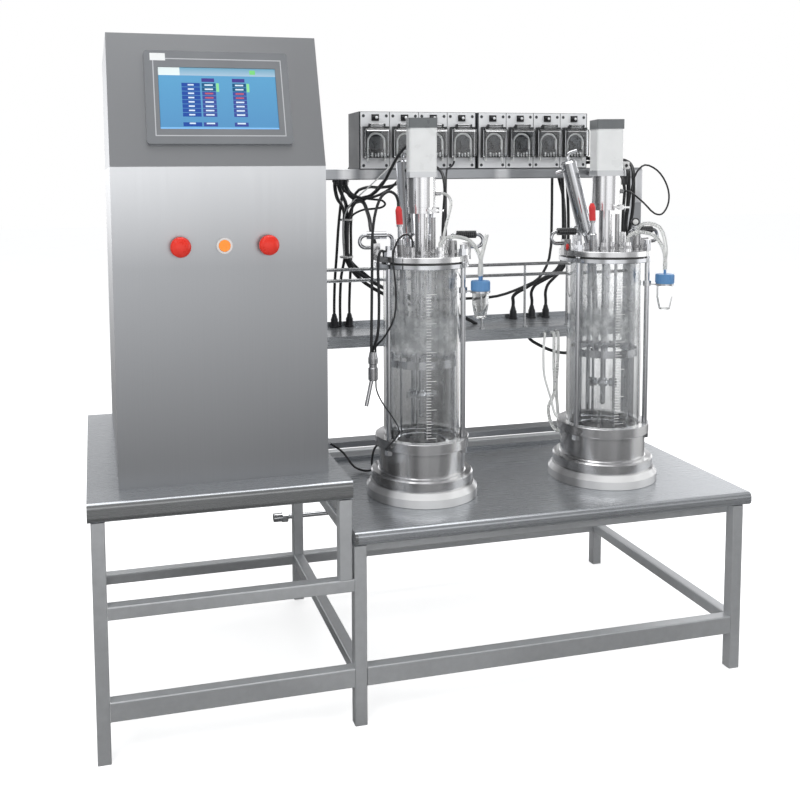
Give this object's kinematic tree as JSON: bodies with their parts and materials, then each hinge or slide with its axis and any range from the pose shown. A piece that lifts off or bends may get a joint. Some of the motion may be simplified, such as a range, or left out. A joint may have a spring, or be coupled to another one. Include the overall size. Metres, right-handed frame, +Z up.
{
  "type": "bench bioreactor",
  "caption": "Bench bioreactor with stirred glass vessels on a stepped steel stand, a touch-screen control cabinet, a peristaltic pump rack and an instrument shelf.",
  "frame": {"origin": "centre of the footprint at floor level, measured without the cords", "axes": "+X along the bench to the right as seen from the front, +Y away from the front, +Z up"},
  "size_m": [1.37, 0.67, 1.337],
  "materials": {
    "satin_steel_tube": "satin",
    "bench_steel": "satin",
    "cabinet_steel": "fine brushed",
    "grey_modules": "matte",
    "dark_grey_plastic": "satin",
    "display": "glossy, lit",
    "red_button": "glossy",
    "orange_button": "glossy, lit",
    "collar_metal": "satin",
    "bright_steel": "polished",
    "black_rubber": "matte",
    "pump_case_paint": "satin",
    "dark_head_plastic": "satin",
    "silicone": "translucent",
    "roller_steel": "polished",
    "clear_plastic": "clear",
    "polished_steel": "polished",
    "clear_glass": "clear",
    "motor_silver": "satin anodised",
    "ring_steel": "satin turned",
    "probe_steel": "polished, red cap",
    "handle_steel": "polished, black knurled grip",
    "blue_cap": "ribbed",
    "coupler_metal": "polished"
  },
  "bodies": {
    "stand": {"bench_frame": "satin_steel_tube", "cabinet_bench_top": "bench_steel", "vessel_bench_top": "bench_steel", "cabinet_shell": "cabinet_steel", "cabinet_rear_panel": "cabinet_steel", "control_gear": "grey_modules", "screen_housing": "dark_grey_plastic", "screen_glass": "display", "button_collars": "collar_metal", "rack_frame": "satin_steel_tube", "instrument_shelf": "bench_steel", "shelf_railing": "bright_steel", "cable_connectors": "black_rubber", "pump_cases": "pump_case_paint", "pump_heads": "dark_head_plastic", "pump_tubes": "silicone", "base_cup_a": "polished_steel", "base_cup_b": "polished_steel", "glass_tube_a": "clear_glass", "glass_tube_b": "clear_glass", "clamp_rings": "polished_steel", "head_plate_a": "polished_steel", "head_plate_b": "polished_steel", "drive_columns": "polished_steel", "stirrer_motors": "motor_silver", "baffle_cage_a": "polished_steel", "baffle_cage_b": "polished_steel", "locating_rings": "ring_steel", "tie_rods": "polished_steel", "condensers": "polished_steel", "probes": "probe_steel", "grip_handles": "handle_steel", "sample_bottles": "clear_glass", "bottle_caps": "blue_cap", "water_fittings": "bright_steel", "cable_harness": "black_rubber", "sensor_leads": "black_rubber", "lead_coupler": "coupler_metal", "silicone_tubing": "silicone"},
    "stirrer_a": {"stirrer_a": "polished_steel"},
    "stirrer_b": {"stirrer_b": "polished_steel"},
    "rotor_1": {"pump_rotor_1": "roller_steel"},
    "cover_1": {"pump_cover_1": "clear_plastic"},
    "rotor_2": {"pump_rotor_2": "roller_steel"},
    "cover_2": {"pump_cover_2": "clear_plastic"},
    "rotor_3": {"pump_rotor_3": "roller_steel"},
    "cover_3": {"pump_cover_3": "clear_plastic"},
    "rotor_4": {"pump_rotor_4": "roller_steel"},
    "cover_4": {"pump_cover_4": "clear_plastic"},
    "rotor_5": {"pump_rotor_5": "roller_steel"},
    "cover_5": {"pump_cover_5": "clear_plastic"},
    "rotor_6": {"pump_rotor_6": "roller_steel"},
    "cover_6": {"pump_cover_6": "clear_plastic"},
    "rotor_7": {"pump_rotor_7": "roller_steel"},
    "cover_7": {"pump_cover_7": "clear_plastic"},
    "rotor_8": {"pump_rotor_8": "roller_steel"},
    "cover_8": {"pump_cover_8": "clear_plastic"},
    "stop_left": {"emergency_stop_left": "red_button"},
    "stop_right": {"emergency_stop_right": "red_button"},
    "power": {"power_button": "orange_button"}
  },
  "joints": [
    {"name": "stirrer_spin_a", "type": "hinge", "parent": "stand", "child": "stirrer_a", "pos_m": [0.013, -0.131, 0.687], "axis": [0, 0, 1], "continuous": true},
    {"name": "stirrer_spin_b", "type": "hinge", "parent": "stand", "child": "stirrer_b", "pos_m": [0.445, -0.131, 0.687], "axis": [0, 0, 1], "continuous": true},
    {"name": "pump_spin_1", "type": "hinge", "parent": "stand", "child": "rotor_1", "pos_m": [-0.01725, 0.099, 1.145], "axis": [0, -1, 0], "continuous": true},
    {"name": "pump_spin_2", "type": "hinge", "parent": "stand", "child": "rotor_2", "pos_m": [0.05425, 0.099, 1.145], "axis": [0, -1, 0], "continuous": true},
    {"name": "pump_spin_3", "type": "hinge", "parent": "stand", "child": "rotor_3", "pos_m": [0.12575, 0.099, 1.145], "axis": [0, -1, 0], "continuous": true},
    {"name": "pump_spin_4", "type": "hinge", "parent": "stand", "child": "rotor_4", "pos_m": [0.19725, 0.099, 1.145], "axis": [0, -1, 0], "continuous": true},
    {"name": "pump_spin_5", "type": "hinge", "parent": "stand", "child": "rotor_5", "pos_m": [0.27675, 0.099, 1.145], "axis": [0, -1, 0], "continuous": true},
    {"name": "pump_spin_6", "type": "hinge", "parent": "stand", "child": "rotor_6", "pos_m": [0.34825, 0.099, 1.145], "axis": [0, -1, 0], "continuous": true},
    {"name": "pump_spin_7", "type": "hinge", "parent": "stand", "child": "rotor_7", "pos_m": [0.41975, 0.099, 1.145], "axis": [0, -1, 0], "continuous": true},
    {"name": "pump_spin_8", "type": "hinge", "parent": "stand", "child": "rotor_8", "pos_m": [0.49125, 0.099, 1.145], "axis": [0, -1, 0], "continuous": true},
    {"name": "cover_open_1", "type": "hinge", "parent": "stand", "child": "cover_1", "pos_m": [-0.01725, 0.0915, 1.1845], "axis": [-1, 0, 0], "range_deg": [0, 110]},
    {"name": "cover_open_2", "type": "hinge", "parent": "stand", "child": "cover_2", "pos_m": [0.05425, 0.0915, 1.1845], "axis": [-1, 0, 0], "range_deg": [0, 110]},
    {"name": "cover_open_3", "type": "hinge", "parent": "stand", "child": "cover_3", "pos_m": [0.12575, 0.0915, 1.1845], "axis": [-1, 0, 0], "range_deg": [0, 110]},
    {"name": "cover_open_4", "type": "hinge", "parent": "stand", "child": "cover_4", "pos_m": [0.19725, 0.0915, 1.1845], "axis": [-1, 0, 0], "range_deg": [0, 110]},
    {"name": "cover_open_5", "type": "hinge", "parent": "stand", "child": "cover_5", "pos_m": [0.27675, 0.0915, 1.1845], "axis": [-1, 0, 0], "range_deg": [0, 110]},
    {"name": "cover_open_6", "type": "hinge", "parent": "stand", "child": "cover_6", "pos_m": [0.34825, 0.0915, 1.1845], "axis": [-1, 0, 0], "range_deg": [0, 110]},
    {"name": "cover_open_7", "type": "hinge", "parent": "stand", "child": "cover_7", "pos_m": [0.41975, 0.0915, 1.1845], "axis": [-1, 0, 0], "range_deg": [0, 110]},
    {"name": "cover_open_8", "type": "hinge", "parent": "stand", "child": "cover_8", "pos_m": [0.49125, 0.0915, 1.1845], "axis": [-1, 0, 0], "range_deg": [0, 110]},
    {"name": "stop_left_press", "type": "slide", "parent": "stand", "child": "stop_left", "axis": [0, 1, 0], "range_m": [0, 0.004]},
    {"name": "stop_right_press", "type": "slide", "parent": "stand", "child": "stop_right", "axis": [0, 1, 0], "range_m": [0, 0.004]},
    {"name": "power_press", "type": "slide", "parent": "stand", "child": "power", "axis": [0, 1, 0], "range_m": [0, 0.002], "stiffness_N_per_m": 600}
  ]
}
